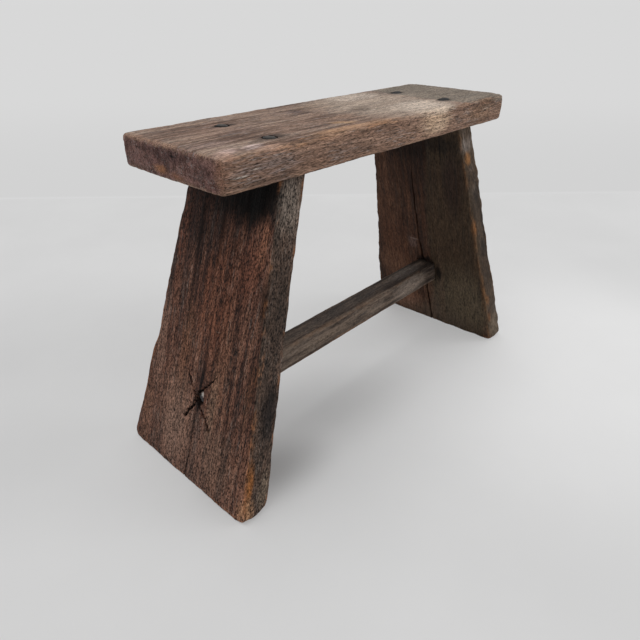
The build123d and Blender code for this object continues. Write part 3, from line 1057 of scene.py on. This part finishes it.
def leg(name, low, high, back_edge, front_edge, foot_roundings, dents, chips, seed):
    """A worn leg board. Its edges are chipped less and less down to its foot."""
    front_rounding, back_rounding = foot_roundings
    board = sawn_board(name, low, high, 1.5 * MM, (2.6 * MM, 1.15 * MM, 1.15 * MM))
    round_corner(board, (0, -leg_foot_width / 2), (1, 1), front_rounding)
    round_corner(board, (0, leg_foot_width / 2), (1, -1), back_rounding)
    for level, inward, dent in ((low[Z], 1, dents[0]), (high[Z], -1, dents[1])):
        knock_in(board, (0, -leg_foot_width / 2, level), (1, 1, inward), dent)
    above_foot = np.clip((points_of(board)[:, X] - chip_start) / chip_onset, 0.1, 1)
    arris = np.empty(len(above_foot))
    board.data.attributes["arris"].data.foreach_get("value", arris)
    mark(board, "chipped", above_foot * arris)
    hew(board, low, high, back_edge, front_edge)
    wear(board, (0.11, 0.030, 0.030), 0.9 * MM, seed)
    wear(board, (0.045, 0.0032, 0.0032), 0.60 * MM, seed + 1)
    wear(board, (0.030, 0.014, 0.014), 0.8 * MM, seed + 2, group="arris", contrast=1.3)
    wear(board, (0.011, 0.006, 0.006), chips, seed + 3, group="chipped", contrast=2.4, spread=0.7)
    return board


left_leg = leg(
    "left_leg_board", left_low, left_high, LEFT_BACK_EDGE, LEFT_FRONT_EDGE,
    (5.5 * MM, 10 * MM), (2.4 * MM, 2.2 * MM), 0.7 * MM, 10,
)
right_leg = leg(
    "right_leg_board", right_low, right_high, RIGHT_BACK_EDGE, RIGHT_FRONT_EDGE,
    (4.5 * MM, 10 * MM), (1.4 * MM, 1.2 * MM), 1.5 * MM, 20,
)

# Drying splits: height as a share of the leg, then the way across as a share of the foot's
# width. Cross of cracks round the left leg's nail: the course of each stroke in bench mm, its
# mouth and depth in mm, and the share of its course after which it closes
RIGHT_SPLIT = (
    (-0.02, -0.007), (0.10, 0.005), (0.20, 0.017), (0.36, 0.028), (0.52, 0.050), (0.68, 0.058),
    (0.84, 0.057),
)
LEFT_SPLIT = ((-0.02, 0.009), (0.04, -0.001), (0.08, -0.009), (0.17, -0.012), (0.26, -0.020))
LEFT_CROSS = (
    (((61.0, -25), (73.5, -12.5), (84, -1), (94, 8.5), (110, 21)), 4.4, 7.0, 0.85),
    (((60, 14.5), (78, 3), (92, -1.5), (104, -12.5), (119, -25)), 5.4, 4.2, 0.6),
)


def split_course(course_shares):
    return [(height * leg_length, across * leg_foot_width) for height, across in course_shares]


cut(right_leg, split_cutter(split_course(RIGHT_SPLIT), 3.2 * MM, 17 * MM, leg_thickness, 1))
cut(left_leg, split_cutter(split_course(LEFT_SPLIT), 2.2 * MM, 9 * MM, 0, 2, closing=0.35))
for seed, (course, mouth, depth, closing) in enumerate(LEFT_CROSS, start=5):
    stroke = [(x * MM, y * MM) for x, y in course]
    cut(left_leg, split_cutter(stroke, mouth * MM, depth * MM, 0, seed, closing))
set_in_place(left_leg, LEFT_PLACE)
set_in_place(right_leg, RIGHT_PLACE)

# Stretcher
stretcher_low = Vector((-stretcher_reach, -stretcher_width / 2, -stretcher_depth / 2))
stretcher = sawn_board(
    "stretcher_bar", stretcher_low, -stretcher_low, 3.0 * MM, (2.2 * MM, 0.9 * MM, 0.9 * MM)
)
wear(stretcher, (0.09, 0.02, 0.02), 0.7 * MM, 30)
wear(stretcher, (0.04, 0.0024, 0.0024), 0.35 * MM, 31)
wear(stretcher, (0.018, 0.009, 0.009), 0.7 * MM, 32, group="arris", contrast=1.2)
set_in_place(stretcher, STRETCHER_PLACE)

# Joinery
for front_edge, place, low, high in (
    (LEFT_FRONT_EDGE, LEFT_PLACE, left_low, left_high),
    (RIGHT_FRONT_EDGE, RIGHT_PLACE, right_low, right_high),
):
    room = housing_clearance
    front_reach = leg_top_width / 2 + np.interp(1, *zip(*front_edge)) * leg_foot_width
    socket = block(
        "housing",
        (high[X] - cut_overrun, -front_reach - room, low[Z] - room),
        (high[X] + room, leg_top_width / 2 + room, high[Z] + room),
    )
    places = points_of(socket)
    places[:, X] += np.abs(places[:, Z]) * tan(leg_splay)
    move_points(socket, places)
    cut(seat, set_in_place(socket, place))

for side, board in ((-1, left_leg), (1, right_leg)):
    far = stretcher_reach + mortise_end_gap
    near = stretcher_reach - stretcher_entry - cut_overrun
    front = -stretcher_width / 2 - mortise_front_gap
    back = stretcher_width / 2 + mortise_back_gap
    left, right = sorted((side * near, side * far))
    top = stretcher_depth / 2 + mortise_top_gap
    mortise = block("mortise", (left, front, -stretcher_depth / 2), (right, back, top))
    cut(board, set_in_place(mark_grime_and_shade(mortise), STRETCHER_PLACE))

for name in nail_places:
    leg_board = left_leg if "left" in name else right_leg
    holed, recessed = (seat, seat) if name.startswith("seat") else (stretcher, leg_board)
    for board in (leg_board, holed):
        cut(board, *nail_cutters(name, board is recessed))

# The feet are worn flat on the floor
for board in (left_leg, right_leg):
    places = points_of(board)
    places[:, Z] = np.maximum(places[:, Z], 0)
    move_points(board, places)

for board, node, slot, material in (
    (seat, "seat_board", "seat_wood", seat_wood),
    (left_leg, "left_leg", "leg_wood", left_leg_wood),
    (right_leg, "right_leg", "leg_wood", right_leg_wood),
    (stretcher, "stretcher", "stretcher_wood", stretcher_wood),
):
    finish_piece(board, node, material, smooth_below=38)

for seed, (name, place) in enumerate(nail_places.items(), start=60):
    if name.startswith("stretcher"):
        sizes, metal = STRETCHER_NAIL, sunk_nail_iron_painted_light
    else:
        sizes, metal = SEAT_NAIL, rubbed_nail_iron if "left" in name else black_nail_iron
    forged_nail(name, sizes, place, seed, metal)

# Floor: pale paint that keeps the stool's shadow, lit up a little for the camera alone, and
# plain beyond a faint line, where the wall starts. Depth runs along x + y, away from the camera
wall_start = 1.0
camera_lift = 0.38
bpy.ops.mesh.primitive_plane_add(size=80)
floor = bpy.context.object
floor.name = "floor"
paper = Finish("floor_paint")
place = paper.step("TexCoord", {}).outputs["Object"]
coat = paper.noise(place, 0.30, 0.30, detail=5.0, rough=0.55)
coat = paper.mix(paper.span(coat, 0.3, 0.7), neutral(215), neutral(222))
paper.feed(paper.shader, {"Base Color": coat, "Roughness": 0.9})
part = paper.step("SeparateXYZ", {"Vector": place})
depth = paper.plus(part.outputs["X"], part.outputs["Y"])

# Painted light and shade on the floor for the camera alone: a brighter pool to the front right, a
# darker part to the back left, and painted shadow under the stool, deepest by the left leg. Middle
# and radii in mm, turn, edge share and tone
painted_floor_light_and_shade = neutral(214)
for middle, radii, turn, edge, tone in (
    ((250, -230, 0), (420, 330, 900), -30, 0.2, 246),
    ((-330, 260, 0), (420, 330, 900), 0, 0.2, 196),
    ((-80, -15, 0), (185, 95, 900), -14, 0.1, 172),
    ((-165, -52, 0), (90, 55, 900), -14, 0.1, 120),
):
    painted_floor_light_and_shade = paper.mix(paper.spot(place, middle, radii, turn, edge), painted_floor_light_and_shade, neutral(tone))
wall_tone = paper.mix(paper.span(depth, wall_start, 3.2), neutral(210), neutral(216))
line_start = paper.span(depth, wall_start, wall_start + 0.012)
line_end = paper.span(depth, wall_start + 0.05, wall_start + 0.03)
line = paper.times(paper.times(line_start, line_end), 0.5)
wall_tone = paper.mix(line, wall_tone, neutral(218))
beyond = paper.span(depth, wall_start, wall_start + 0.03)
glow = paper.step("Emission", {"Color": paper.mix(beyond, painted_floor_light_and_shade, wall_tone)})
seen = paper.step("LightPath", {}).outputs["Is Camera Ray"]
glow_share = paper.times(paper.math("MAXIMUM", beyond, camera_lift), seen)
blend = paper.step("MixShader", {0: glow_share, 1: paper.shader.outputs[0], 2: glow.outputs[0]})
paper.feed(paper.nodes["Material Output"], {"Surface": blend.outputs[0]})
floor.data.materials.append(paper.material)
